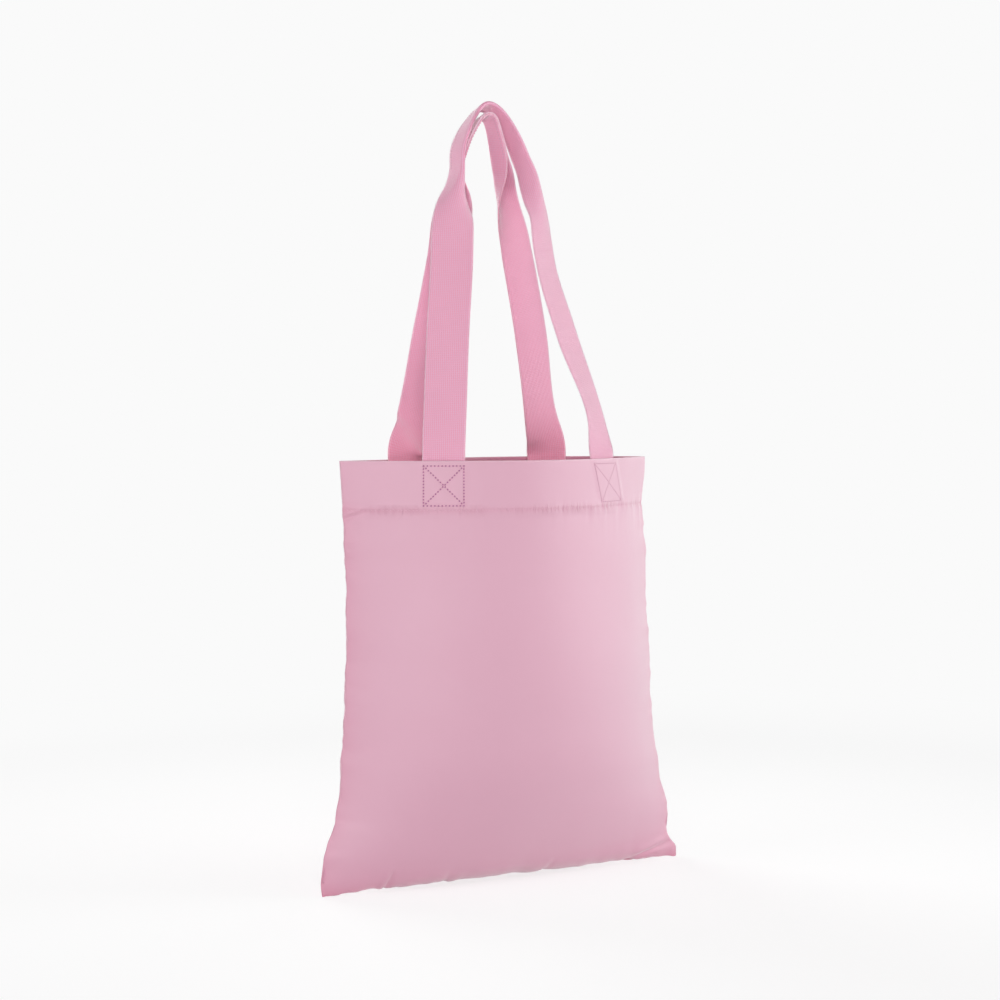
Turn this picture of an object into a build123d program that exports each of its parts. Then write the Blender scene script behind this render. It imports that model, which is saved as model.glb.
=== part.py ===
"""Soft open-top tote bag with two webbing handles, standing full on its bottom seam.

Frame: +Z up, +X to the right seen from the front, the front panel towards -Y.
Origin: centre of the bottom, on the floor.  All lengths in millimetres, angles in degrees.
"""

from build123d import *
from functools import lru_cache
import os
from math import atan2, cos, degrees, radians, sin

os.makedirs("parts", exist_ok=True)

# ---------------------------------------------------------------- bag body
bottom_width = 380.0  # corner to corner along the bottom seam
waist_width = 320.0  # narrowest, between the side seams
mouth_width = 322.0  # between the side seams at the top edge
bag_height = 386.0  # floor to top edge
mouth_shift = -11.0  # the full bag leans a little to the left at its mouth

base_depth = 15.0  # seam plane to front or back edge of the flattened base
belly_depth = 72.0  # seam plane to the fullest place of either panel
belly_fullness = 2.1  # exponent of the belly's plan curve
front_mouth_depth = 71.0
back_mouth_depth = 54.0
front_mouth_fullness = 1.77  # exponent of the mouth's plan curve, low is more pointed
back_mouth_fullness = 1.9
back_mouth_skew = 0.65  # the back edge bulges more on the right than on the left

wall = 1.2  # outer cloth
base_thickness = 1.6  # cloth gathered over the flattened base
facing = 1.0  # cloth turned to the inside to make the hem
hem_height = 44.0

# ---------------------------------------------------------------- seams and threads
binding_width = 11.0  # tape bound over each inner seam
binding_thickness = 1.8
thread = 0.5  # height of a stitch above its cloth
stitch_width = 0.9
box_stitch_width = 36.0
box_stitch_height = 36.0
box_stitch_drop = 4.0  # top edge to the upper row of a stitched box

# ---------------------------------------------------------------- handles
webbing_width = 38.0
webbing = 1.6  # thickness
handle_spread = 166.0  # between the legs of one handle, centre to centre
tail_drop = 40.0  # webbing inside the hem
stub_height = 16.0  # webbing that stays upright above the top edge
joint_gap = 0.3  # between the upright stub and the swinging loop
front_rise = 325.0  # top edge of the bag to the middle of the front grip
back_rise = 311.0
front_lean = 44.0  # how far each grip leans in from over its legs
back_lean = 38.0
grip_length = 148.0  # webbing folded double along its length
grip_thickness = 3.4
grip_opening = 44.0  # length over which the fold opens out
grip_stitch_share = 0.32  # stitch row's place across the folded grip, from its middle
axis_clearance = 1.0  # hinge line to the nearest corner of the webbing


# ---------------------------------------------------------------- shape of the full bag
class Level:
    """Plan outline of both panels at one height."""

    def __init__(self, height, half_width, shift, depths, fullness=None, skew=0.0):
        self.height = height
        self.half_width = half_width
        self.shift = shift
        self.depths = depths
        self.fullness = fullness or {"front": belly_fullness, "back": belly_fullness}
        self.skews = {"front": 0.0, "back": skew}

    def depth(self, side, x):
        """Distance from the seam plane to the outer face of one panel at x."""
        share = max(-1.0, min(1.0, (x - self.shift) / self.half_width))
        bulge = 1 - abs(share) ** self.fullness[side]
        return self.depths[side] * bulge * (1 + self.skews[side] * share)


def between(low, high, share):
    return low + (high - low) * share


def flare(share):
    """Half width of the lower bag: 1 at the bottom seam, 0 at the waist."""
    return between(waist_width / 2, bottom_width / 2, share)


def swell(share):
    """Depth of both panels below the belly: 0 at the flattened base, 1 at the belly."""
    depth = between(base_depth, belly_depth, share)
    return {"front": depth, "back": depth}


def mouth_level(height):
    """The mouth's outline, which also carries on straight up past the top edge."""
    return Level(
        height,
        mouth_width / 2,
        mouth_shift,
        {"front": front_mouth_depth, "back": back_mouth_depth},
        fullness={"front": front_mouth_fullness, "back": back_mouth_fullness},
        skew=back_mouth_skew,
    )


MOUTH = mouth_level(bag_height)
LEVELS = [
    Level(0.0, flare(1.0), 0.0, swell(0.0)),
    Level(bag_height * 0.052, flare(0.90), 0.0, swell(0.23)),
    Level(bag_height * 0.13, flare(0.72), mouth_shift * 0.08, swell(0.54)),
    Level(bag_height * 0.26, flare(0.36), mouth_shift * 0.2, swell(0.86)),
    Level(bag_height * 0.50, flare(0.07), mouth_shift * 0.5, swell(1.0)),
    Level(
        bag_height * 0.76,
        flare(0.0),
        mouth_shift * 0.8,
        {
            "front": between(front_mouth_depth, belly_depth, 0.4),
            "back": between(back_mouth_depth, belly_depth, 0.55),
        },
        fullness={
            "front": between(front_mouth_fullness, belly_fullness, 0.4),
            "back": between(back_mouth_fullness, belly_fullness, 0.6),
        },
        skew=back_mouth_skew * 0.35,
    ),
    MOUTH,
]
RIM = mouth_level(bag_height + stub_height + webbing)
OUTWARD = {"front": -1.0, "back": 1.0}
PLAN_SPANS = 10  # spans of each plan curve


def plan_points(level, side, inset):
    """Points of one panel's plan curve, from the left corner to the right one."""
    corner = level.half_width
    if inset > 0:
        steep = level.depth(side, level.shift + 0.93 * corner) / (0.07 * corner)
        corner -= inset * (1 + 1 / steep**2) ** 0.5
    points = []
    for k in range(PLAN_SPANS + 1):
        share = -cos(radians(180 * k / PLAN_SPANS))
        outer = level.depth(side, level.shift + share * level.half_width)
        depth = outer - inset * (1 - abs(share) ** 6)
        points.append((level.shift + share * corner, OUTWARD[side] * depth))
    return points


@lru_cache(maxsize=None)
def whole_half(side, inset):
    """Half of the bag's inside and the space just over its mouth, loft through all levels."""
    with BuildPart() as half:
        for level in LEVELS + [RIM]:
            points = plan_points(level, side, inset)
            with BuildSketch(Plane.XY.offset(level.height)):
                with BuildLine():
                    Spline(*points)
                    Line(points[-1], points[0])
                make_face()
        loft()
    return half.part


def pouch(side, inset, low=0.0, high=bag_height):
    """Half of the bag's inside, from the seam plane to a layer inset from one panel's outer face."""
    with BuildPart() as half:
        with Locations((0, OUTWARD[side] * belly_depth, (low + high) / 2)):
            Box(2 * bottom_width, 2 * belly_depth, high - low)
        add(whole_half(side, inset), mode=Mode.INTERSECT)
    return half.part


# ---------------------------------------------------------------- places of the handle legs
def leg_x(place):
    return MOUTH.shift + (-1 if place == "left" else 1) * handle_spread / 2


def hem_angle(side, x):
    """Direction of the top edge at x, in plan, from +X."""
    step = 0.5 * webbing_width
    near, far = (OUTWARD[side] * MOUTH.depth(side, x + d) for d in (-step, step))
    return degrees(atan2(far - near, 2 * step))


def inward(side, x):
    """Unit vector in plan from the outer face towards the inside, at x along the top edge."""
    turn = radians(hem_angle(side, x))
    return Vector(sin(turn), -cos(turn), 0) * OUTWARD[side]


def hem_plane(side, x, depth, height):
    """Plane on the hem: x along the top edge, y up, z out of the bag."""
    outer = Vector(x, OUTWARD[side] * MOUTH.depth(side, x), height)
    out = inward(side, x) * -1
    return Plane(origin=outer - out * depth, x_dir=Vector(0, 0, 1).cross(out), z_dir=out)


# ---------------------------------------------------------------- swinging loops
LEG_DEPTH = wall + facing + webbing / 2  # outer face to the middle of the webbing
HINGE_HEIGHT = bag_height + stub_height + joint_gap / 2

# route of each loop: share of half the leg spread, and share of its rise above the top edge
ROUTES = {
    "front": [
        (-0.91, 0.154),
        (-0.843, 0.286),
        (-0.657, 0.683),
        (-0.554, 0.846),
        (-0.398, 0.94),
        (-0.145, 1.0),
        (0.096, 0.932),
        (0.241, 0.843),
        (0.325, 0.76),
        (0.65, 0.357),
        (0.89, 0.154),
    ],
    "back": [
        (-0.87, 0.16),
        (-0.66, 0.44),
        (-0.45, 0.72),
        (-0.33, 0.87),
        (-0.24, 0.96),
        (-0.165, 1.0),
        (-0.1, 0.975),
        (-0.02, 0.91),
        (0.12, 0.83),
        (0.33, 0.66),
        (0.63, 0.376),
        (0.89, 0.16),
    ],
}
RISES = {"front": front_rise, "back": back_rise}
LEANS = {"front": front_lean, "back": back_lean}
LOOP_SPANS = 32


class Loop:
    """Middle line of one loop of webbing, with the direction of its width at each place."""

    def __init__(self, side):
        self.side = side
        self.feet = [hem_plane(side, leg_x(p), LEG_DEPTH, bag_height).origin for p in ("left", "right")]
        self.middle = (self.feet[0] + self.feet[1]) / 2
        self.across = (self.feet[1] - self.feet[0]).normalized()
        self.inward = self.across.cross(Vector(0, 0, 1)) * OUTWARD[side]
        self.angles = [hem_angle(side, leg_x(p)) for p in ("left", "right")]
        foot = stub_height + joint_gap
        half_span = (self.feet[1] - self.feet[0]).length / 2
        points = [self.place(-half_span, foot)]
        points += [self.place(u * half_span, h * RISES[side]) for u, h in ROUTES[side]]
        points += [self.place(half_span, foot)]
        self.line = Spline(*points, tangents=[(0, 0, 1), (0, 0, -1)])
        self.length = self.line.length

    def place(self, u, height):
        """Point at u along the line between the feet, leaning in with height."""
        share = max(0.0, height - stub_height) / (RISES[self.side] - stub_height)
        lean = share * LEANS[self.side]
        return self.middle + self.across * u + self.inward * lean + Vector(0, 0, height)

    def opened(self, t):
        """0 where the webbing is folded double, 1 where it is open and flat."""
        beyond = abs(t - 0.5) * self.length - grip_length / 2
        share = max(0.0, min(1.0, beyond / grip_opening))
        return share * share * (3 - 2 * share)

    def width(self, t):
        return webbing_width * (1 + self.opened(t)) / 2

    def thickness(self, t):
        return between(grip_thickness, webbing, self.opened(t))

    def turn(self, t):
        """Direction of the width in plan: along the hem on the legs, straight out at the top."""
        outward = 90 * OUTWARD[self.side]
        far = self.angles[1] + 180 * OUTWARD[self.side]
        twist = max(0.0, min(1.0, abs(t - 0.5) * 2 / 0.8))
        twist = twist * twist * (3 - 2 * twist)
        return between(outward, self.angles[0] if t < 0.5 else far, twist)

    def plane(self, t):
        along = self.line % t
        wide = Vector(cos(radians(self.turn(t))), sin(radians(self.turn(t))), 0)
        wide = (wide - along * wide.dot(along)).normalized()
        return Plane(origin=self.line @ t, x_dir=wide, z_dir=along)

    def hinge(self):
        """Point and direction of the line about which the loop swings outwards."""
        chord = degrees(atan2(self.across.Y, self.across.X))
        slant = max(abs(angle - chord) for angle in self.angles)
        clear = webbing_width / 2 * sin(radians(slant)) + webbing / 2 + axis_clearance
        point = self.middle - self.inward * clear
        return Vector(point.X, point.Y, HINGE_HEIGHT), self.across


LOOPS = {side: Loop(side) for side in OUTWARD}


def finish(builder, name):
    """Label one sub-part and write its file."""
    builder.part.label = name
    export_step(builder.part, f"parts/{name}.step")


# ---------------------------------------------------------------- cloth panels
for side in OUTWARD:
    with BuildPart() as panel:
        add(pouch(side, 0))
        add(pouch(side, wall, base_thickness), mode=Mode.SUBTRACT)
    finish(panel, f"{side}_panel")

    with BuildPart() as hem_facing:
        add(pouch(side, wall, bag_height - hem_height))
        add(pouch(side, wall + facing, bag_height - hem_height), mode=Mode.SUBTRACT)
    finish(hem_facing, f"{side}_hem_facing")

    with BuildPart() as hem_stitching:
        add(pouch(side, -thread, bag_height - hem_height, bag_height - hem_height + stitch_width))
        add(pouch(side, 0), mode=Mode.SUBTRACT)
    finish(hem_stitching, f"{side}_hem_stitching")

# ---------------------------------------------------------------- webbing sewn into the hem
for side in OUTWARD:
    for place in ("left", "right"):
        hem = hem_plane(side, leg_x(place), LEG_DEPTH, bag_height)
        with BuildPart() as tail:
            with BuildSketch(hem):
                with Locations((0, (stub_height - tail_drop) / 2)):
                    Rectangle(webbing_width, stub_height + tail_drop)
            extrude(amount=4 * webbing, both=True)
            add(pouch(side, wall + facing, high=bag_height + stub_height), mode=Mode.INTERSECT)
            add(pouch(side, wall + facing + webbing, high=bag_height + stub_height), mode=Mode.SUBTRACT)
        finish(tail, f"{side}_{place}_webbing_tail")

        with BuildPart() as box_stitching:
            with BuildSketch(hem):
                with Locations((0, -box_stitch_drop - box_stitch_height / 2)):
                    Rectangle(box_stitch_width, box_stitch_height)
                    Rectangle(
                        box_stitch_width - 2 * stitch_width,
                        box_stitch_height - 2 * stitch_width,
                        mode=Mode.SUBTRACT,
                    )
                    diagonal = degrees(atan2(box_stitch_height, box_stitch_width))
                    reach = (box_stitch_width**2 + box_stitch_height**2) ** 0.5 - 2 * stitch_width
                    for slope in (diagonal, -diagonal):
                        Rectangle(reach, stitch_width, rotation=slope)
            extrude(amount=6 * webbing, both=True)
            add(pouch(side, -thread), mode=Mode.INTERSECT)
            add(pouch(side, 0), mode=Mode.SUBTRACT)
        finish(box_stitching, f"{side}_{place}_box_stitching")

# ---------------------------------------------------------------- loops
for side, loop in LOOPS.items():
    stations = [k / LOOP_SPANS for k in range(LOOP_SPANS + 1)]
    with BuildPart() as webbing_loop:
        for span in zip(stations, stations[1:]):
            for t in span:
                with BuildSketch(loop.plane(t)):
                    Rectangle(loop.width(t), loop.thickness(t))
            loft(ruled=True)
    finish(webbing_loop, f"{side}_handle_webbing")

    folded = [t for t in stations if loop.opened(t) == 0]
    with BuildPart() as grip_stitching:
        for span in zip(folded, folded[1:]):
            for t in span:
                raised = OUTWARD[side] * (loop.thickness(t) + thread) / 2
                with BuildSketch(loop.plane(t)):
                    with Locations((-grip_stitch_share * loop.width(t), raised)):
                        Rectangle(stitch_width, thread)
            loft(ruled=True)
    finish(grip_stitching, f"{side}_grip_stitching")
    point, direction = loop.hinge()
    print(side, "loop length", round(loop.length, 1), "hinge at", point, "along", direction)

# ---------------------------------------------------------------- bound seams inside
cavity_low = base_thickness + binding_width
with BuildPart() as bottom_seam_binding:
    for side in OUTWARD:
        add(pouch(side, wall, base_thickness, cavity_low))
    with Locations((0, 0, bag_height / 2)):
        Box(2 * bottom_width, binding_thickness, bag_height, mode=Mode.INTERSECT)
finish(bottom_seam_binding, "bottom_seam_binding")

for place, corner_point in (("left", 0), ("right", -1)):
    with BuildPart() as side_seam_binding:
        for level in LEVELS:
            points = plan_points(level, "front", wall)
            corner = points[corner_point][0]
            inwards = 1 if corner < level.shift else -1
            with BuildSketch(Plane.XY.offset(level.height)):
                with Locations((corner + inwards * binding_width / 2, 0)):
                    Rectangle(binding_width, binding_thickness)
        loft()
        with Locations((0, 0, (cavity_low + bag_height - hem_height) / 2)):
            Box(2 * bottom_width, belly_depth, bag_height - hem_height - cavity_low, mode=Mode.INTERSECT)
    finish(side_seam_binding, f"{place}_seam_binding")
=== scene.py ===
"""Soft open tote bag with two webbing handles: the finished cloth, webbing, thread and tape.

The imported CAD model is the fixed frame. Everything is worked out in millimetres in that frame, +Z up and the
front panel towards -Y, and is turned into metres when a mesh is made.
"""

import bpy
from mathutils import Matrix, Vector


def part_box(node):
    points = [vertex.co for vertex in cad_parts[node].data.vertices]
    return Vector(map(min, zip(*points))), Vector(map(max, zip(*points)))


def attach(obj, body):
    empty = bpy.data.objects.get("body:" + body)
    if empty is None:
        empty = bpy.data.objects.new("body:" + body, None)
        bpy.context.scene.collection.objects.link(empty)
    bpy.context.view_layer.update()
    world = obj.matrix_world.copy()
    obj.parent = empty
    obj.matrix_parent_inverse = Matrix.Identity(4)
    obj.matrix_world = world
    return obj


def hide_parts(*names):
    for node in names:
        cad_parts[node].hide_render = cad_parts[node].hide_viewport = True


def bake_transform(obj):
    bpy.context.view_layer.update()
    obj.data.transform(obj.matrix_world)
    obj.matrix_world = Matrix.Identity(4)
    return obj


bl_info = {
    "name": "Webbing Handle Tote Bag",
    "version": (1, 0, 0),
    "blender": (4, 5, 0),
    "location": "View3D > Sidebar > Tote Bag",
    "description": "Builds a soft tote bag with two webbing handles around its CAD frame",
    "category": "Add Mesh",
}

import bpy
import numpy as np
from bpy.props import FloatProperty, FloatVectorProperty, PointerProperty
from mathutils import Vector

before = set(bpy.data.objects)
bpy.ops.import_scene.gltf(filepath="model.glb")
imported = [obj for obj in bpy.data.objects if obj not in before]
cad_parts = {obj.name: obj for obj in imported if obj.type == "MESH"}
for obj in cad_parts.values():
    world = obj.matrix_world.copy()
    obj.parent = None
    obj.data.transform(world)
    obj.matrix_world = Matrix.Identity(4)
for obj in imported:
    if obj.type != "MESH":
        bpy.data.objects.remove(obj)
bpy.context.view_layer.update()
PER_METRE = 1000  # millimetres


def cad_box(node):
    """Lowest and highest corner of a CAD node, in millimetres."""
    low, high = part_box(node)
    return np.array(low) * PER_METRE, np.array(high) * PER_METRE


# ------------------------------------------------------------------ measures taken from the frame
CORNER = cad_box("front_panel")[1][0]
BELLY = -cad_box("front_panel")[0][1]
TOP = cad_box("front_panel")[1][2]
HEM = cad_box("front_hem_stitching")[0][2]
TAIL_END = cad_box("front_left_webbing_tail")[0][2]
OUT = {"front": -1.0, "back": 1.0}
SIDES = ("front", "back")
PLACES = ("left", "right")
BOXES = {(side, place): cad_box(f"{side}_{place}_box_stitching") for side in SIDES for place in PLACES}
# how far a leg is sewn beside its place
SHIFT = {**dict.fromkeys(BOXES, 0.0), ("back", "left"): -2.5, ("front", "right"): 2.2}
LEG_X = {key: (low[0] + high[0]) / 2 + SHIFT[key] for key, (low, high) in BOXES.items()}
# sideways run of a sewn tail for each millimetre down
LEANING = {**dict.fromkeys(BOXES, 0.0), ("front", "right"): 0.32}
# sideways step of a leg just over the mouth
RISE_SHIFT = {**dict.fromkeys(BOXES, 0.0), ("back", "left"): 1.6, ("front", "right"): -2.6}
LEGS_PART_AT = -11  # x between the left and the right leg of each handle
FOOT_HEIGHTS = (TAIL_END, 372.0, 396.0)  # the sewn end, in the hem, just over the mouth
HELD_ZONE = (379, 391)  # heights between which the webbing leaves the cloth
WEBBING_INSET = 3.0  # outer face of the cloth to the middle of the sewn webbing
WEBBING_CLEARANCE = 0.35
HALF_WEBBING = 19
# one sewn end stands off the cloth on one side: which, how steeply, where, and its step over the mouth
TWISTED = ("back", "left")
TWIST_SLOPE = 0.21
TWIST_ZONE = (368, 388)
TWIST_STEP = 4.0
FACING_INSET = 1.5  # outer face to the visible face of the turned hem
HALF_PANEL = 160  # middle of a panel to its side seam, for what is measured from the seam
STITCH_SHARE = 0.74  # length of a plain stitch for each millimetre of pitch
STRAND = (0.6, 0.15)  # width and height of a plain stitch

# ------------------------------------------------------------------ shape of the full bag
# side seams: height, x
SEAMS = {
    "left": [
        (0, -CORNER), (4, -CORNER - 1.5), (25, -190.5), (38, -188), (55, -182), (68, -178), (86, -175),
        (104, -173), (121, -172), (157, -170), (187, -168), (275, -167), (343, -170), (386, -173),
        (430, -174),
    ],
    "right": [
        (0, CORNER - 1.5), (6, CORNER - 1), (11, 188), (16, 183.5), (21, 179.5), (36, 179), (56, 177),
        (75, 171), (95, 168), (114, 164), (134, 161), (153, 159), (172, 158), (200, 156.5), (249, 152.5),
        (300, 152), (330, 149), (345, 148), (378, 151), (386, 151), (430, 152),
    ],
}
# middle of each panel, from the bottom seam up: height, depth
PROFILES = {
    "front": [
        (2, 0), (2.6, 7), (5.5, 14), (12, 22), (20, 28), (40, 40), (70, 54), (100, 64), (150, 70),
        (200, BELLY), (300, 70), (342, 70.5), (386, 71), (430, 71.3),
    ],
    "back": [
        (2, 0), (2.6, 7), (5.5, 14), (12, 22), (20, 28), (40, 40), (70, 54), (100, 64), (150, 70),
        (200, 70.5), (250, 68), (300, 62), (342, 57.5), (386, 54), (430, 53),
    ],
}
# height, exponent of the plan curve
FULLNESS = {
    "front": [(0, 2.1), (190, 2.1), (293, 1.97), (386, 1.77), (430, 1.75)],
    "back": [(0, 2.1), (190, 2.1), (293, 2.0), (386, 1.9), (430, 1.88)],
}
# height, how much fuller the right half is than the left
SKEW = {
    "front": [(0, 0), (430, 0)],
    "back": [(0, 0), (190, 0.02), (293, 0.23), (386, 0.65), (430, 0.7)],
}

# ------------------------------------------------------------------ handles
# fold line: x, y, z, then the direction from it to the selvages (turn in plan, rise), then how far the
# webbing is folded, 0 flat to 90 shut
STRAPS = {
    "front": [
        (-89, -43, 429, 60, 0, 0), (-80, -32, 500, 58, 0, 0), (-71, -23, 564, 59, 0, 2),
        (-68, -19, 591, 63, 0, 13), (-65, -17, 607, 69, 0, 30), (-61.5, -15, 618, 73, 0, 50),
        (-57, -14, 629, 80, 0, 68), (-54, -12, 639, 93, 0, 82), (-52, -11, 649, 101, 0, 90),
        (-51, -9, 665, 102, 0, 90), (-46, -7, 677, 100, -3, 90), (-39, -5, 691, 95, -10, 90),
        (-32, -3, 701, 91, -17, 90), (-23, -2, 710, 90, -20, 90), (-14, -2, 708, 95, -17, 90),
        (-5, -3, 701, 102, -10, 90), (2, -5, 691, 108, -4, 90), (12, -7, 674, 115, 0, 90),
        (18, -9, 659, 119, 0, 90), (23, -11, 648, 120, 0, 84), (26, -13, 633, 119, 0, 68),
        (27, -15, 622, 119, 0, 50), (28, -16, 611, 119, 0, 32), (27, -18, 600, 120, 0, 17),
        (25, -20, 589, 121, 0, 7), (25.5, -21, 576, 122, 0, 2), (42.4, -32, 502, 121, 0, 0),
        (68.5, -45, 416, 124, 0, 0),
    ],
    "back": [
        (-80.4, 34, 414, -91, 0, 0), (-67.5, 21, 501, -93, 0, 0), (-58, 20, 545, -94, 0, 0),
        (-52, 19, 576, -98, 0, 3), (-50, 18, 599, -104, 0, 15), (-48, 16, 619, -108, 0, 46),
        (-46, 15, 636, -110, 0, 80), (-44, 13, 650, -111, 0, 90), (-40, 12, 662, -112, 0, 90),
        (-36, 10, 676, -110, 2, 90), (-31, 9, 686, -105, 7, 90), (-28, 8, 694, -97, 12, 90),
        (-24, 7, 697, -90, 14, 90), (-20, 8, 694, -86, 12, 90), (-17, 9, 686, -80, 6, 90),
        (-12, 11, 666, -68, 0, 90), (-9, 13, 655, -62, 0, 88), (-6, 14, 645, -60, 0, 78),
        (-3, 16, 634, -60, 0, 62), (2, 17, 623, -63, 0, 40), (7, 18, 613, -67, 0, 24),
        (13, 20, 602, -72, 0, 12), (18, 21, 591, -75, 0, 5), (22, 23, 579, -77, 0, 1),
        (43, 32, 503, -81, 0, 0), (63, 44, 415, -89, 0, 0),
    ],
}
STRAP_ROWS = 400


# ------------------------------------------------------------------ helpers for shapes
def ease(low, high, at):
    """0 below low, 1 above high, and a smooth step between."""
    share = np.clip((at - low) / (high - low), 0, 1)
    return share * share * (3 - 2 * share)


def bump(at, middle, width):
    """A bell of height 1 round the middle."""
    return np.exp(-(((at - middle) / width) ** 2))


def scatter(cell, seed):
    """A repeatable value from -1 to 1 for each whole number: the fraction of a large sine."""
    value = np.sin(cell * 127.1 + seed * 311.7) * 43758.5453
    return 2 * (value - np.floor(value)) - 1


def ripple(at, seed):
    """Smooth uneven waves about two units long, -1 to 1: scattered values joined by smooth steps."""
    cell = np.floor(at)
    share = ease(0, 1, at - cell)
    return scatter(cell, seed) * (1 - share) + scatter(cell + 1, seed) * share


def swell(across, up, seed):
    """Smooth uneven hills over two directions: rows of ripples joined by smooth steps."""
    cell = np.floor(up)
    share = ease(0, 1, up - cell)
    return ripple(across + 17.3 * cell, seed) * (1 - share) + ripple(across + 17.3 * (cell + 1), seed) * share


def through(stations, at, by_distance=False):
    """A smooth curve through stations (place, value, ...): cubic pieces whose slopes weigh the two next runs.

    With by_distance, every column is a value and the place is the distance run along the first three.
    """
    rows = np.asarray(stations, float)
    if by_distance:
        runs = np.linalg.norm(np.diff(rows[:, :3], axis=0), axis=1)
        place, values = np.r_[0, np.cumsum(runs)], rows
    else:
        place, values = rows[:, 0], rows[:, 1:]
    gaps = np.diff(place)[:, None]
    slopes = np.diff(values, axis=0) / gaps
    inner = (slopes[:-1] * gaps[1:] + slopes[1:] * gaps[:-1]) / (gaps[:-1] + gaps[1:])
    tangents = np.concatenate([slopes[:1], inner, slopes[-1:]])
    at = np.asarray(at, float)
    k = np.clip(np.searchsorted(place, at, side="right") - 1, 0, len(place) - 2)
    gap = gaps[k]
    u = ((at - place[k]) / gap[..., 0])[..., None]
    return (
        (2 * u**3 - 3 * u**2 + 1) * values[k]
        + (u**3 - 2 * u**2 + u) * gap * tangents[k]
        + (3 * u**2 - 2 * u**3) * values[k + 1]
        + (u**3 - u**2) * gap * tangents[k + 1]
    )


def between(stops, run, field):
    """A field of three columns at some distances along its run, on straight lines between its rows."""
    return np.stack([np.interp(stops, run, field[:, k]) for k in range(3)], axis=-1)


def unit(vectors):
    return vectors / np.maximum(np.linalg.norm(vectors, axis=-1, keepdims=True), 1e-9)


def square_to(vectors, line):
    """The unit vectors square to a line's unit vectors that lie nearest to the given ones."""
    return unit(vectors - (vectors * line).sum(-1, keepdims=True) * line)


def from_seam(s):
    """Distance from the nearer side seam, where s runs from -1 to 1 between the seams."""
    return (1 - np.abs(s)) * HALF_PANEL


def leg_middle(side, place, height):
    """x of the middle of a leg, which may lean where it is sewn to the hem."""
    return LEG_X[side, place] + LEANING[side, place] * np.maximum(0, TOP - height)


def crease(x, z, start, end, width, depth):
    """A groove along a straight line on a panel with a soft ridge on its upper side, fading at both ends."""
    line = np.array(end, float) - np.array(start, float)
    reach = np.linalg.norm(line)
    along = ((x - start[0]) * line[0] + (z - start[1]) * line[1]) / reach
    off = ((x - start[0]) * -line[1] + (z - start[1]) * line[0]) / reach
    fade = ease(-0.25 * reach, 0.2 * reach, along) * (1 - ease(0.75 * reach, 1.25 * reach, along))
    return depth * fade * (0.35 * bump(off, 1.9 * width, 1.5 * width) - bump(off, 0, width))


# ------------------------------------------------------------------ the panels
# puckers of three sizes at the side seams: share of the full height, reach from the seam, length, and how far
# the waves of one seam are from those of the other
SIDE_PUCKERS = ((1.0, 11, 8.5, 31), (0.45, 5, 3.8, 13), (0.55, 28, 19, 7))
# the same at the bottom seam: share of the full height, reach from the seam, length
BOTTOM_PUCKERS = ((1.0, 13, 11), (0.45, 6, 4.6), (0.6, 34, 23))
# straight creases: start (x, z), end (x, z), width, depth
CREASES = {
    "front": [
        ((-170, 334), (-150, 342), 1.5, 1.5),
        ((-170, 322), (-158, 325), 1.4, 1.1),
        ((-170, 311), (-161, 310), 1.3, 0.9),
        ((50, 343), (52, 330), 2.0, 0.5),
        ((62, 343), (65, 324), 2.6, 0.35),
        ((138, 6), (183, 17), 2.4, 2.4),
        ((-131, 0), (-126, 20), 2.2, 1.7),
        ((-70, 0), (-73, 14), 2.0, 0.8),
        ((31, 0), (36, 16), 2.4, 0.8),
    ],
    "back": [],
}


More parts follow.
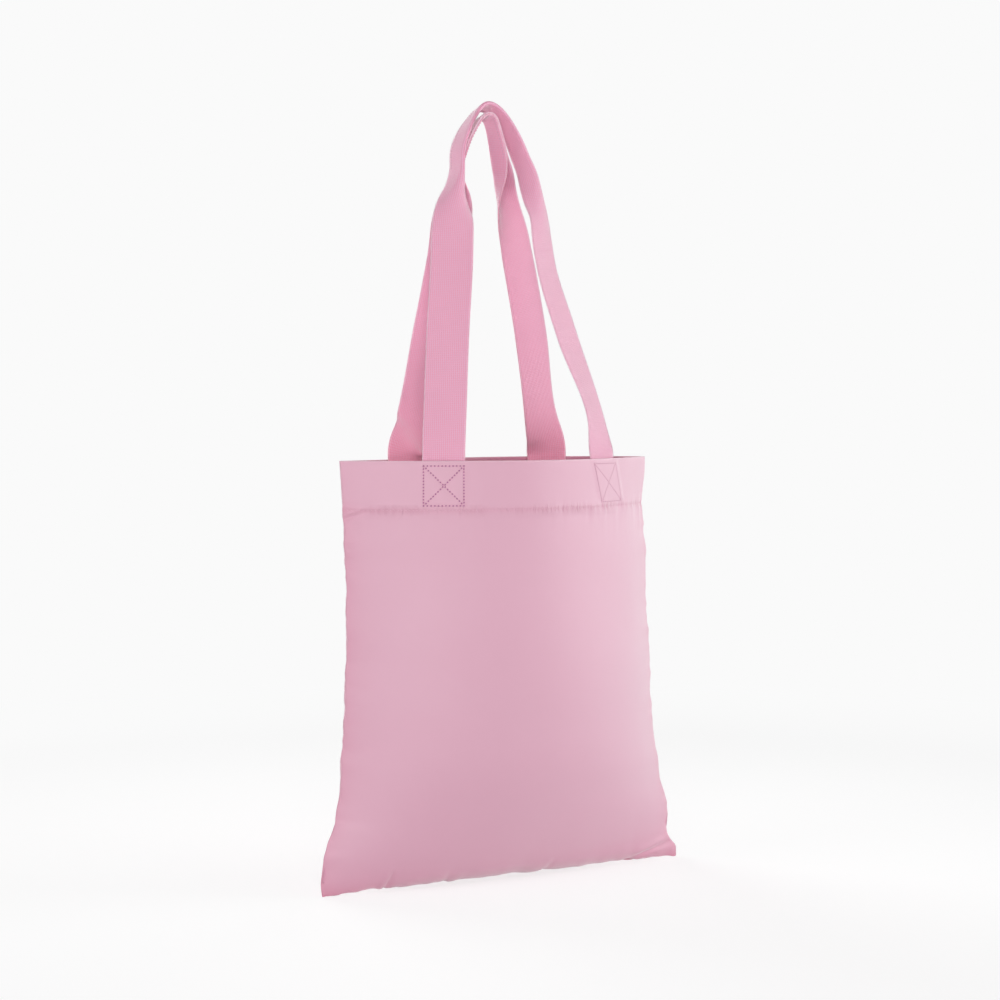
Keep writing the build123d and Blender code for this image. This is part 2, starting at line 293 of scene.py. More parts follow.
class Panel:
    """One cloth panel: points for s, -1 at the left seam to 1 at the right, and a, the way up from below."""

    def __init__(self, side):
        self.side = side
        rows = [(z, -d, 0) for z, d in PROFILES[side]]
        runs = np.linalg.norm(np.diff(np.array(rows, float), axis=0), axis=1).sum()
        line = through(rows, np.linspace(0, runs, 1600), by_distance=True)
        self.heights, self.depths = line[:, 0], -line[:, 1]
        self.way = np.r_[0, np.cumsum(np.hypot(np.diff(self.heights), np.diff(self.depths)))]

    def up_to(self, height):
        """The way up from the bottom seam to a height."""
        return np.interp(height, self.heights, self.way)

    def share(self, x, height):
        """s at x."""
        left, right = (through(SEAMS[p], height)[..., 0] for p in PLACES)
        return (2 * x - left - right) / (right - left)

    def form(self, s, a):
        """The smooth panel: depth x (1 - |s|^fullness) x (1 + skew s), between the two side seams."""
        z = np.interp(a, self.way, self.heights)
        depth = np.interp(a, self.way, self.depths)
        left, right = (through(SEAMS[p], z)[..., 0] for p in PLACES)
        power, skew = (through(t[self.side], z)[..., 0] for t in (FULLNESS, SKEW))
        x = (left + right) / 2 + (right - left) / 2 * s
        y = OUT[self.side] * depth * (1 - np.abs(s) ** power) * (1 + skew * s)
        z = z - 2.0 * np.abs(s) ** 6 * np.exp(-z / 14)
        return np.stack([x, y, z], axis=-1)

    def normals(self, s, a):
        """Outward normals of the smooth panel: cross product of its two slopes."""
        step = 0.004
        s0, s1 = np.clip(s - step, -1, 1), np.clip(s + step, -1, 1)
        a0, a1 = np.maximum(a - 0.5, 0.02), a + 0.5
        across = self.form(s1, a) - self.form(s0, a)
        upward = self.form(np.clip(s, -0.995, 0.995), a1) - self.form(np.clip(s, -0.995, 0.995), a0)
        normal = unit(np.cross(across, upward))
        return normal * np.where(normal[..., 1:2] * OUT[self.side] < 0, -1, 1)

    def relief(self, s, a, x, z):
        """Height of the cloth over the smooth panel: puckers, hem, creases and slow waves added together."""
        seed = 3 if self.side == "front" else 11
        pucker = bpy.context.scene.tote_cloth.pucker * PER_METRE
        seam = from_seam(s)
        edge = np.where(s > 0, 1.0, 2.0)
        slanted = z + 0.35 * seam * ripple(z / 47 + edge * 9, seed)
        strength = pucker * (0.62 + 0.38 * ripple(z / 33 + edge * 5, seed + 1))
        high, low = 0, 0
        for k, (share, reach, length, step) in enumerate(SIDE_PUCKERS, 2):
            waves = ripple(slanted / length + edge * step, seed + k)
            high = high + share * strength * np.exp(-seam / reach) * waves
        leaning = x + 0.3 * a * ripple(x / 52, seed + 5)
        for k, (share, reach, length) in enumerate(BOTTOM_PUCKERS, 6):
            low = low + share * pucker * np.exp(-a / reach) * ripple(leaning / length, seed + k)
        slow = 0.55 * swell(x / 60, z / 85, seed + 9) * ease(4, 40, seam) * ease(4, 60, a)
        # hem: stitched groove, the double cloth above it, gathers hanging from it
        below = HEM + 0.5 - z
        more = 0.6 + 0.75 * ease(-60, 110, x)
        hem = 0.5 * ease(HEM - 1.5, HEM + 2.5, z) - 0.38 * bump(z, HEM + 0.5, 1.3)
        hem += 0.45 * bump(z, HEM - 4, 3.2) * (0.75 + 0.25 * ripple(x / 13, seed + 10))
        gathers = ripple(x / 4.6 + 0.12 * ripple(z / 18, seed + 11), seed + 12)
        gathers += 0.8 * ripple(x / 9.5, seed + 13)
        hem += 0.30 * more * ripple(x / 2.7, seed + 14) * bump(z, HEM, 4.5)
        fading = np.where(below > 0, np.exp(-np.abs(below) / 12), np.exp(-np.abs(below) / 5))
        hem += 0.58 * more * gathers * fading
        # the cloth stands out a little where a tail lies behind it
        behind = 0
        for place in PLACES:
            aside = x - LEG_X[self.side, place] - LEANING[self.side, place] * (TOP - z)
            behind = behind + 1 - ease(17.5, 20.0, np.abs(aside))
        hem += 0.65 * behind * ease(TAIL_END - 1, TAIL_END + 3, z)
        folds = sum(crease(x, z, *row) for row in CREASES[self.side])
        calm = (1 - np.exp(-((seam / 1.6) ** 2))) * (1 - np.exp(-((a / 1.8) ** 2)))
        return (high + low + slow + folds) * calm * (1 - 0.75 * ease(HEM - 6, HEM + 4, z)) + hem * calm

    def skin(self, s, a, inset=0.0):
        """Points and outward normals of the cloth's face, or of a layer inset from it."""
        base, normal = self.form(s, a), self.normals(s, a)
        x, z = base[..., 0], base[..., 2]
        seam = from_seam(s)
        side = np.sign(s)
        where = np.where(side > 0, 40.0, 0.0)
        wave = 0.8 * ripple(z / 15 + where, 21) + 0.45 * ripple(z / 6 + where, 22)
        wave = wave * np.exp(-seam / 14) * (1 - 0.7 * ease(HEM, HEM + 10, z)) * ease(0, 12, z)
        lip = 1.3 * np.exp(-((seam / 1.1) ** 2))
        points = base + normal * (self.relief(s, a, x, z) - inset)[..., None]
        points[..., 0] += side * (wave - lip)
        scallop = 0.7 * ripple(x / 21, 31) + 0.35 * ripple(x / 8, 32) + 0.5
        points[..., 2] += scallop * np.exp(-a / 22) * (1 - np.abs(s) ** 10) + 1.1 * np.exp(-((a / 1.1) ** 2))
        points[..., 1] = OUT[self.side] * np.maximum(points[..., 1] * OUT[self.side], 0.03)
        points[..., 2] = np.maximum(points[..., 2], 0.1)
        return points, normal

    def at(self, x, height, inset=0.0):
        """Points and normals of the cloth at x and a height."""
        x, height = np.broadcast_arrays(np.asarray(x, float), np.asarray(height, float))
        return self.skin(self.share(x, height), self.up_to(height), inset)


PANELS = {side: Panel(side) for side in SIDES}


# ------------------------------------------------------------------ meshes
def make_object(name, points, faces, uv=None, values=None, material_of=None, materials=()):
    """Object from arrays in millimetres: four-cornered faces, a UV and named values for each point."""
    mesh = bpy.data.meshes.new(name)
    mesh.vertices.add(len(points))
    mesh.vertices.foreach_set("co", (points * 0.001).astype(np.float32).ravel())
    mesh.loops.add(faces.size)
    mesh.loops.foreach_set("vertex_index", faces.astype(np.int32).ravel())
    mesh.polygons.add(len(faces))
    mesh.polygons.foreach_set("loop_start", np.arange(0, faces.size, 4, dtype=np.int32))
    if material_of is not None:
        mesh.polygons.foreach_set("material_index", material_of.astype(np.int32))
    mesh.update(calc_edges=True)
    mesh.shade_smooth()
    if uv is not None:
        layer = mesh.uv_layers.new(name="flat")
        layer.data.foreach_set("uv", (uv[faces.ravel()] * 0.001).astype(np.float32).ravel())
    for key, value in (values or {}).items():
        mesh.attributes.new(key, "FLOAT", "POINT").data.foreach_set("value", value.astype(np.float32).ravel())
    for material in materials:
        mesh.materials.append(material)
    piece = bpy.data.objects.new(name, mesh)
    bpy.context.scene.collection.objects.link(piece)
    return piece


def grid_faces(rows, columns, closed=False, flip=False):
    """Faces of a grid numbered row by row. closed joins the last column to the first."""
    across = columns if closed else columns - 1
    row, column = np.meshgrid(np.arange(rows - 1), np.arange(across), indexing="ij")
    following = (column + 1) % columns
    here, next_row = row * columns, (row + 1) * columns
    corners = [here + column, here + following, next_row + following, next_row + column]
    faces = np.stack(corners, axis=-1).reshape(-1, 4)
    return faces[:, ::-1] if flip else faces


def facing_out(points, faces):
    """The faces of a closed mesh, turned round if they point inwards, when the volume adds up below 0."""
    a, b, c, d = (points[faces[:, k]] for k in range(4))
    total = (np.cross(a, b) * c).sum() + (np.cross(a, c) * d).sum()
    return faces if total > 0 else faces[:, ::-1]


def grid_uv(first, second):
    """A pair of values for each point of a grid, row by row."""
    return np.stack(np.broadcast_arrays(first, second), axis=-1).reshape(-1, 2)


def stitch_mesh(centres, along, normal, length, width, height):
    """Many stitches at once, each a rounded six-sided strand that stands up and dives in at its ends.

    At t from -1 to 1 the strand's middle is at height x (1 - t^4) - 0.35 width x t^4, and its radius is
    width/2 x (1 - t^6)^0.5. The section is a little flattened.
    """
    t = np.array([-1, -0.86, -0.5, 0, 0.5, 0.86, 1.0])
    turn = np.arange(6) * np.pi / 3
    radius = 0.5 * width * np.sqrt(np.maximum(1 - t**6, 0.06))
    lift = height * (1 - t**4) - 0.35 * width * t**4
    side = unit(np.cross(normal, along))
    section = np.stack([0 * turn, np.cos(turn), 0.8 * np.sin(turn)], axis=-1)
    ring = radius[:, None, None] * section[None]
    ring = ring + np.stack([0.5 * length * t, 0 * t, lift], axis=-1)[:, None, :]
    ring = ring.reshape(-1, 3)
    points = (
        centres[:, None]
        + along[:, None] * ring[None, :, :1]
        + side[:, None] * ring[None, :, 1:2]
        + normal[:, None] * ring[None, :, 2:3]
    )
    last = 6 * (len(t) - 1)
    first_end = [[0, 3, 2, 1], [0, 5, 4, 3]]
    last_end = [[last, last + 1, last + 2, last + 3], [last, last + 3, last + 4, last + 5]]
    faces = np.concatenate([grid_faces(len(t), 6, closed=True), first_end, last_end])
    faces = facing_out(points[0], faces)
    count = len(ring)
    faces = (faces[None] + count * np.arange(len(centres))[:, None, None]).reshape(-1, 4)
    uv = np.tile(np.stack([ring[:, 0], np.tile(turn, len(t)) * 0.5 * width], axis=-1), (len(centres), 1))
    end = np.tile(np.repeat(np.abs(t), 6), len(centres))
    return points.reshape(-1, 3), faces, uv, end


def join(parts):
    """One set of arrays from several (points, faces, uv, end), and for each face the number of its set."""
    points, uv, end = (np.concatenate([part[k] for part in parts]) for k in (0, 2, 3))
    firsts = np.cumsum([0] + [len(part[0]) for part in parts])
    faces = np.concatenate([part[1] + first for part, first in zip(parts, firsts)])
    number = np.repeat(np.arange(len(parts)), [len(part[1]) for part in parts])
    return points, faces, uv, end, number


def seam_line(start, end, pitch):
    """Middles of equal stitches along a straight line between two flat points."""
    start, end = np.array(start, float), np.array(end, float)
    count = max(1, int(round(np.linalg.norm(end - start) / pitch)))
    return start + (end - start) * ((np.arange(count) + 0.5) / count)[:, None]


def sewn(panel, flat, direction, inset, length, width, height, inside=False):
    """Stitches on a panel at flat points (x, height), lying in a flat direction, outside or inside."""
    direction = np.array(direction, float) / np.linalg.norm(direction)
    step = direction * 0.8
    middle, normal = panel.at(*flat.T, inset)
    ahead, _ = panel.at(*(flat + step).T, inset)
    behind, _ = panel.at(*(flat - step).T, inset)
    along = unit(ahead - behind)
    normal = square_to(normal, along)
    return stitch_mesh(middle, along, -normal if inside else normal, length, width, height)


# ------------------------------------------------------------------ webbing
class Strap:
    """One handle: a single length of webbing from one sewn tail over the grip to the other."""

    def __init__(self, side):
        self.side = side
        panel = PANELS[side]
        rows = []
        for x, y, z, turn, rise, fold in STRAPS[side]:
            turn, rise = np.radians(turn), np.radians(rise)
            towards = (np.cos(turn) * np.cos(rise), np.sin(turn) * np.cos(rise), np.sin(rise))
            rows.append((x, y, z, *towards, np.radians(fold)))
        feet = []
        for place in PLACES:
            for height in FOOT_HEIGHTS:
                x = leg_middle(side, place, height)
                point, normal = panel.at(x, min(height, TOP), WEBBING_INSET)
                inwards = unit(-normal * np.array([1, 1, 0]))
                if height > TOP:
                    point = point + np.array([RISE_SHIFT[side, place], 0, 0])
                    if (side, place) == TWISTED:
                        inwards = np.array([0.0, -1.0, 0.0])
                        point = point + TWIST_STEP * inwards
                feet.append((point[0], point[1], height, *inwards, 0.0))
        rows = feet[:3] + rows + feet[5:2:-1]
        length = np.linalg.norm(np.diff(np.array(rows)[:, :3], axis=0), axis=1).sum()
        line = through(rows, np.linspace(0, length, STRAP_ROWS), by_distance=True)
        # smoothed by a bell over nine rows each way, past ends that are carried on by point reflection
        near = 9
        weights = np.exp(-0.5 * (np.arange(-near, near + 1) / 3.0) ** 2)
        weights /= weights.sum()
        before, after = 2 * line[:1] - line[near:0:-1], 2 * line[-1:] - line[-2 : -near - 2 : -1]
        padded = np.concatenate([before, line, after])
        line = np.stack([np.convolve(column, weights, mode="valid") for column in padded.T], axis=1)
        self.middle = line[:, :3]
        self.run = np.r_[0, np.cumsum(np.linalg.norm(np.diff(self.middle, axis=0), axis=1))]
        self.along = unit(np.gradient(self.middle, axis=0))
        self.inwards = square_to(line[:, 3:6], self.along)
        self.across = np.cross(self.inwards, self.along)
        self.fold = np.clip(line[:, 6], 0, np.pi / 2)

    def sheet(self, w):
        """Middle surface of the webbing at distances w from the fold line, and its normal on the bag's side.

        The section turns from the flat direction towards the inside by the fold angle, over a soft radius
        that tightens as it closes, and a closed fold is nipped together at its selvages. Added up along |w|,
        cos(turn) gives the part across and sin(turn) the part inwards.
        """
        w = np.asarray(w, float)
        shut = self.fold / (np.pi / 2)
        soft = (1.75 + 17 * (1 - shut) ** 0.8)[:, None, None]
        steps = (np.arange(32) + 0.5) / 32
        part = np.abs(w)[None, :, None] * steps[None, None, :]
        turn = self.fold[:, None, None] * np.clip(part / soft, 0, 1)
        nip = np.sign(w)[None, :] * 0.45 * ease(10, 19, np.abs(w))[None, :] * shut[:, None] ** 10
        flat = (np.cos(turn).mean(-1) * w[None, :] - nip)[..., None]
        deep = (np.sin(turn).mean(-1) * np.abs(w)[None, :])[..., None]
        free = self.middle[:, None] + flat * self.across[:, None] + deep * self.inwards[:, None]
        # on the hem the webbing follows the cloth it is sewn to
        height = self.middle[:, 2]
        held = (1 - ease(*HELD_ZONE, height))[:, None, None]
        panel = PANELS[self.side]
        on_left = self.middle[:, 0] < LEGS_PART_AT
        left, right = (leg_middle(self.side, place, height) for place in PLACES)
        leg = np.where(on_left, left, right)[:, None]
        x = leg + self.across[:, :1] * w[None, :]
        low = np.minimum(height, TOP + 30)[:, None] + 0 * x
        sewn_to, normal = panel.skin(panel.share(x, low), panel.up_to(low))
        lift = TWIST_SLOPE * np.clip(x - leg + HALF_WEBBING, 0, 2 * HALF_WEBBING) * ease(*TWIST_ZONE, low)
        lift = lift * ((self.side == TWISTED[0]) & on_left[:, None])
        sewn_to = sewn_to - normal * (WEBBING_INSET + WEBBING_CLEARANCE + lift)[..., None]
        sewn_to[..., 2] = low
        points = free * (1 - held) + sewn_to * held
        normals = unit(np.cross(np.gradient(points, w, axis=1), np.gradient(points, axis=0)))
        facing = (normals[:, len(w) // 2] * self.inwards).sum(-1).mean()
        return points, normals * (1 if facing > 0 else -1)


def webbing_arrays(strap, width, thickness):
    """Closed mesh of one strap: its middle surface pushed half the thickness both ways, less at the edges."""
    t = np.linspace(-1, 1, 31)
    w = 0.5 * width * np.sign(t) * np.abs(t) ** 1.45
    points, normals = strap.sheet(w)
    half = 0.5 * thickness * np.where(np.abs(t) > 0.99, 0.6, 1.0)
    face = points + normals * half[None, :, None]
    reverse = points - normals * half[None, :, None]
    ring = np.concatenate([face, reverse[:, ::-1]], axis=1)
    rows, columns = ring.shape[:2]
    faces = grid_faces(rows, columns, closed=True)
    k = np.arange(len(w) - 1)
    cap = np.stack([k, columns - 1 - k, columns - 2 - k, k + 1], axis=-1)
    faces = np.concatenate([faces, cap, cap[:, ::-1] + (rows - 1) * columns])
    across = np.concatenate([w, w[::-1]])
    uv = grid_uv(across[None, :] + 0.5 * width, strap.run[:, None])
    edge = np.tile(np.abs(across) / (0.5 * width), rows)
    flat = ring.reshape(-1, 3)
    return flat, facing_out(flat, faces), uv, edge


# ------------------------------------------------------------------ surface finishes
NUMBER, COLOUR, VECTOR = "NodeSocketFloat", "NodeSocketColor", "NodeSocketVector"


def socket_value(node, name, value):
    node.inputs[name].default_value = value


class Tree:
    """Short words for placing and joining nodes."""

    def __init__(self, tree):
        self.tree = tree
        tree.nodes.clear()

    def add(self, kind, **settings):
        node = self.tree.nodes.new(kind)
        for key, value in settings.items():
            setattr(node, key, value)
        return node

    def link(self, source, target):
        self.tree.links.new(source, target)

    def put(self, value, socket):
        """Joins another socket to a socket, or sets a plain number or a colour on it."""
        if isinstance(value, bpy.types.NodeSocket):
            self.link(value, socket)
        elif isinstance(value, (int, float)):
            socket.default_value = value
        else:
            socket.default_value = (*value[:3], 1.0)

    def math(self, operation, first, second=None):
        node = self.add("ShaderNodeMath", operation=operation)
        self.put(first, node.inputs[0])
        if second is not None:
            self.put(second, node.inputs[1])
        return node.outputs[0]

    def weighed(self, *terms):
        """The sum of some values, each times its weight."""
        total, *others = (self.math("MULTIPLY", value, weight) for value, weight in terms)
        for part in others:
            total = self.math("ADD", total, part)
        return total

    def wave(self, place, pitch):
        """sin(pi x place x pitch)."""
        return self.math("SINE", self.math("MULTIPLY", self.math("MULTIPLY", place, pitch), np.pi))

    def held(self, value):
        """A value kept between 0 and 1."""
        node = self.add("ShaderNodeClamp")
        self.link(value, node.inputs[0])
        return node.outputs[0]

    def spread(self, value, given, wanted=(0.0, 1.0), smooth=False):
        """A value carried from one range to another and held inside it, evenly or by a smooth step."""
        node = self.add("ShaderNodeMapRange", clamp=True)
        node.interpolation_type = "SMOOTHSTEP" if smooth else "LINEAR"
        self.link(value, node.inputs["Value"])
        for name, limit in zip(("From Min", "From Max", "To Min", "To Max"), (*given, *wanted)):
            self.put(limit, node.inputs[name])
        return node.outputs[0]

    def noise(self, place, scale, detail=2.0):
        """Cloudy noise over a place."""
        node = self.add("ShaderNodeTexNoise")
        self.link(place, node.inputs["Vector"])
        socket_value(node, "Scale", scale)
        socket_value(node, "Detail", detail)
        return node.outputs[0]

    def parts(self, vector):
        """The three parts of a vector."""
        node = self.add("ShaderNodeSeparateXYZ")
        self.link(vector, node.inputs[0])
        return node.outputs

    def mix(self, share, first, second, blend="MIX"):
        """A share of the second colour over the first."""
        node = self.add("ShaderNodeMix", data_type="RGBA", blend_type=blend)
        for place, value in ((0, share), (6, first), (7, second)):
            self.put(value, node.inputs[place])
        return node.outputs[2]

    def mix_light(self, share, first, second):
        """A share of the second surface over the first."""
        node = self.add("ShaderNodeMixShader")
        for place, value in enumerate((share, first, second)):
            self.link(value, node.inputs[place])
        return node.outputs[0]

    def shown(self):
        """1 for rays that show a surface to the camera, straight or by gloss or glass, and 0 for the rest."""
        path = self.add("ShaderNodeLightPath").outputs
        indirect = self.math("MAXIMUM", path["Is Glossy Ray"], path["Is Transmission Ray"])
        return self.math("MAXIMUM", path["Is Camera Ray"], indirect)

    def object_place(self):
        return self.add("ShaderNodeTexCoord").outputs["Object"]

    def attribute(self, name):
        return self.add("ShaderNodeAttribute", attribute_name=name).outputs["Fac"]


def new_group(name, inputs, outputs):
    """An empty shader node group with named sockets, and its input and output nodes."""
    group = bpy.data.node_groups.new(name, "ShaderNodeTree")
    tree = Tree(group)
    for label, kind, value in inputs:
        socket = group.interface.new_socket(name=label, in_out="INPUT", socket_type=kind)
        if value is not None:
            socket.default_value = value
    for label, kind in outputs:
        group.interface.new_socket(name=label, in_out="OUTPUT", socket_type=kind)
    return group, tree, tree.add("NodeGroupInput").outputs, tree.add("NodeGroupOutput").inputs


def weave_group():
    """Plain weave: two sets of yarns as sine ridges, each over and under the other in turn."""
    group, tree, given, out = new_group(
        "yarn_weave",
        [("Vector", VECTOR, None), ("Across", NUMBER, 2000.0), ("Along", NUMBER, 2000.0)],
        [("Height", NUMBER), ("Gap", NUMBER)],
    )
    parts = tree.parts(given["Vector"])
    waves = [tree.wave(parts[axis], given[pitch]) for axis, pitch in enumerate(("Across", "Along"))]
    over = tree.spread(tree.math("MULTIPLY", waves[0], waves[1]), (-0.35, 0.35), (0.45, 1.0))
    under = tree.math("SUBTRACT", 1.45, over)
    warp = tree.math("MULTIPLY", tree.math("ABSOLUTE", waves[0]), over)
    weft = tree.math("MULTIPLY", tree.math("ABSOLUTE", waves[1]), under)
    height = tree.math("MAXIMUM", warp, weft)
    tree.link(height, out["Height"])
    tree.link(tree.math("SUBTRACT", 1.0, height), out["Gap"])
    return group


def rib_group():
    """Webbing: rounded lengthwise ribs crossed by fine picks, and a mask of the pits where two gaps meet,
    which the materials darken as painted shade.
    """
    group, tree, given, out = new_group(
        "webbing_ribs",
        [("Vector", VECTOR, None), ("Ribs", NUMBER, 600.0), ("Picks", NUMBER, 600.0)],
        [("Height", NUMBER), ("Pit", NUMBER)],
    )
    parts = tree.parts(given["Vector"])
    ridges = [
        tree.math("POWER", tree.math("ABSOLUTE", tree.wave(parts[axis], given[pitch])), 0.6)
        for axis, pitch in enumerate(("Ribs", "Picks"))
    ]
    tree.link(tree.weighed((ridges[0], 0.62), (ridges[1], 0.38)), out["Height"])
    gaps = [tree.math("SUBTRACT", 1.0, ridge) for ridge in ridges]
    tree.link(tree.weighed((gaps[0], 0.8), (gaps[1], 0.45)), out["Pit"])
    return group


def twist_group():
    """Sewing thread: plies wound round the strand as slanting ridges."""
    group, tree, given, out = new_group(
        "thread_twist",
        [("Vector", VECTOR, None), ("Turns", NUMBER, 1600.0)],
        [("Height", NUMBER)],
    )
    parts = tree.parts(given["Vector"])
    slant = tree.math("ADD", parts[0], tree.math("MULTIPLY", parts[1], 0.8))
    tree.link(tree.math("ABSOLUTE", tree.wave(slant, given["Turns"])), out["Height"])
    return group


def dye_group():
    """Dyed yarn: a slow cloudy change of tone and fine slubs, plus painted shade and bounce light: a share of
    the deep colour mixed in, and a dark share that multiplies it in as painted shade.
    """
    group, tree, given, out = new_group(
        "dye_variation",
        [
            ("Vector", VECTOR, None),
            ("Colour", COLOUR, None),
            ("Deep Colour", COLOUR, None),
            ("Gathered", NUMBER, 0.0),
            ("Amount", NUMBER, 0.1),
            ("Dark", NUMBER, 0.0),
        ],
        [("Colour", COLOUR), ("Cloud", NUMBER)],
    )
    cloud = tree.noise(given["Vector"], 9.0, detail=3.0)
    slub = tree.noise(given["Vector"], 420.0)
    uneven = tree.weighed((cloud, 1.0), (slub, 0.5))
    # painted shade and bounce light mixed into the dyed colour
    share = tree.math("ADD", tree.math("MULTIPLY", uneven, given["Amount"]), given["Gathered"])
    shade = tree.mix(tree.held(share), given["Colour"], given["Deep Colour"])
    deeper = tree.mix(1.0, shade, given["Deep Colour"], blend="MULTIPLY")
    tree.link(tree.mix(tree.held(given["Dark"]), shade, deeper), out["Colour"])
    tree.link(cloud, out["Cloud"])
    return group


def edge_group():
    """Wear on a folded or woven edge: a paler, slightly fuzzy line that a fine noise breaks up."""
    group, tree, given, out = new_group(
        "edge_wear",
        [
            ("Vector", VECTOR, None),
            ("Colour", COLOUR, None),
            ("Edge", NUMBER, 0.0),
            ("Start", NUMBER, 0.9),
            ("Strength", NUMBER, 0.3),
        ],
        [("Colour", COLOUR), ("Mask", NUMBER)],
    )
    near = tree.spread(given["Edge"], (given["Start"], 1.0), smooth=True)
    fuzz = tree.noise(given["Vector"], 260.0)
    mask = tree.math("MULTIPLY", tree.math("MULTIPLY", near, given["Strength"]), fuzz)
    tree.link(mask, out["Mask"])
    tree.link(tree.mix(mask, given["Colour"], (1.0, 0.93, 0.96)), out["Colour"])
    return group


GROUP_MAKERS = {
    "weave": weave_group,
    "ribs": rib_group,
    "twist": twist_group,
    "dye": dye_group,
    "edge": edge_group,
}
GROUPS = {}


def groups():
    """The shared node groups, made once."""
    if not GROUPS:
        GROUPS.update({name: make() for name, make in GROUP_MAKERS.items()})
    return GROUPS


def use(tree, group, **values):
    """Places a node group and sets or joins its inputs; an underscore in a name stands for a space."""
    node = tree.add("ShaderNodeGroup")
    node.node_tree = groups()[group]
    for key, value in values.items():
        tree.put(value, node.inputs[key.replace("_", " ")])
    return node.outputs


def shader(tree, colour, roughness, height, depth, sheen, sheen_roughness=0.45, strength=0.8, specular=0.35):
    """The Principled shader of a soft finish, its plain numbers set on their own sockets."""
    surface = tree.add("ShaderNodeBsdfPrincipled")
    relief = tree.add("ShaderNodeBump")
    socket_value(relief, "Strength", strength)
    socket_value(relief, "Distance", depth)
    tree.link(height, relief.inputs["Height"])
    tree.link(relief.outputs[0], surface.inputs["Normal"])
    tree.link(colour, surface.inputs["Base Color"])
    tree.put(roughness, surface.inputs["Roughness"])
    socket_value(surface, "Specular IOR Level", specular)
    socket_value(surface, "Sheen Weight", sheen)
    socket_value(surface, "Sheen Roughness", sheen_roughness)
    tree.link(surface.outputs[0], tree.add("ShaderNodeOutputMaterial").inputs[0])


def new_material(name, colour):
    """A material, its tree, and the flat place of each point on it."""
    material = bpy.data.materials.new(name)
    material.use_nodes = True
    material.diffuse_color = (*colour, 1.0)
    tree = Tree(material.node_tree)
    flat = tree.add("ShaderNodeUVMap", uv_map="flat").outputs[0]
    return material, tree, flat


def cloth_material():
    """Smooth woven polyester with a soft sheen and a paler worn line on its folded edge; painted shade and
    bounce light deepen its colour near the seams, the bottom, the hem line and inside the turned hem, and
    painted shade darkens it between the yarns and in the tucks.
    """
    cloth = bpy.context.scene.tote_cloth
    material, tree, flat = new_material("pink_polyester", cloth.colour)
    place = tree.object_place()
    weave = use(tree, "weave", Vector=flat, Across=1 / cloth.yarn_pitch, Along=1 / cloth.yarn_pitch)
    # tucks along the hem line: noise drawn out down the cloth
    stretch = tree.add("ShaderNodeMapping")
    tree.link(flat, stretch.inputs["Vector"])
    socket_value(stretch, "Scale", (1.0, 0.22, 1.0))
    tuck = tree.math("MULTIPLY", tree.attribute("hem_line"), tree.noise(stretch.outputs[0], 260.0))
    # painted shade: the colour darkens a little between the yarns and more in the tucks along the hem line
    dark = tree.weighed((weave["Gap"], 0.05), (tuck, 0.30))
    dye = use(
        tree, "dye", Vector=place, Colour=cloth.colour, Deep_Colour=cloth.deep_colour,
        Gathered=tree.attribute("painted_shade_and_bounce"), Amount=0.10, Dark=dark,
    )
    fold = tree.attribute("fold")
    worn = use(tree, "edge", Vector=place, Colour=dye["Colour"], Edge=fold, Start=0.35, Strength=0.3)
    crinkle = tree.noise(flat, 75.0, detail=4.0)
    height = tree.weighed((weave["Height"], 0.25), (crinkle, 0.9), (tuck, 18.0))
    rough = tree.math("ADD", 0.40, tree.math("MULTIPLY", dye["Cloud"], 0.12))
    shader(tree, worn["Colour"], rough, height, 0.00022, cloth.sheen, strength=0.7, specular=0.8)
    return material


def webbing_material():
    """Woven polyester webbing: ribs along it, picks across it, painted shade in the pits between, worn
    selvages, and painted bounce light tinting the back handle near the mouth.
    """
    webbing = bpy.context.scene.tote_webbing
    material, tree, flat = new_material("pink_webbing", webbing.colour)
    place = tree.object_place()
    ribs = use(tree, "ribs", Vector=flat, Ribs=1 / webbing.rib_pitch, Picks=1 / webbing.pick_pitch)
    fine = use(tree, "weave", Vector=flat, Across=4 / webbing.rib_pitch, Along=4 / webbing.pick_pitch)
    # painted shade in the pits between the ribs, and painted bounce light on the back handle
    dye = use(
        tree, "dye", Vector=place, Colour=webbing.colour, Deep_Colour=webbing.deep_colour,
        Gathered=tree.attribute("painted_shade_and_bounce"), Amount=0.10, Dark=tree.math("MULTIPLY", ribs["Pit"], 0.85),
    )
    edge = tree.attribute("edge")
    worn = use(tree, "edge", Vector=place, Colour=dye["Colour"], Edge=edge, Start=0.92, Strength=0.5)
    height = tree.math("ADD", ribs["Height"], tree.math("MULTIPLY", fine["Height"], 0.18))
    rough = tree.math("ADD", 0.52, tree.math("MULTIPLY", ribs["Pit"], 0.25))
    shader(
        tree, worn["Colour"], rough, height, 0.0005, webbing.sheen,
        sheen_roughness=0.38, strength=0.75, specular=0.4,
    )
    return material


def thread_material(name, colour, deep):
    """Twisted sewing thread, with painted shade darkening it where it dives into a needle hole."""
    material, tree, flat = new_material(name, colour)
    twist = use(tree, "twist", Vector=flat, Turns=1500.0)
    end = tree.spread(tree.attribute("edge"), (0.55, 1.0), (0.0, 0.8))
    dye = use(tree, "dye", Vector=tree.object_place(), Colour=colour, Deep_Colour=deep, Amount=0.12, Dark=end)
    shader(tree, dye["Colour"], 0.5, twist["Height"], 0.00012, 0.2)
    return material


def tape_material():
    """Ribbed seam tape, closely woven across its width, with painted shade in the pits between its ribs."""
    binding = bpy.context.scene.tote_binding
    material, tree, flat = new_material("pink_seam_tape", binding.colour)
    place = tree.object_place()
    ribs = use(tree, "ribs", Vector=flat, Ribs=900.0, Picks=1500.0)
    dye = use(
        tree, "dye", Vector=place, Colour=binding.colour, Deep_Colour=binding.deep_colour, Amount=0.15,
        Dark=tree.math("MULTIPLY", ribs["Pit"], 0.35),
    )
    edge = tree.attribute("edge")
    worn = use(tree, "edge", Vector=place, Colour=dye["Colour"], Edge=edge, Start=0.8, Strength=0.4)
    shader(tree, worn["Colour"], 0.6, ribs["Height"], 0.00025, 0.3)
    return material


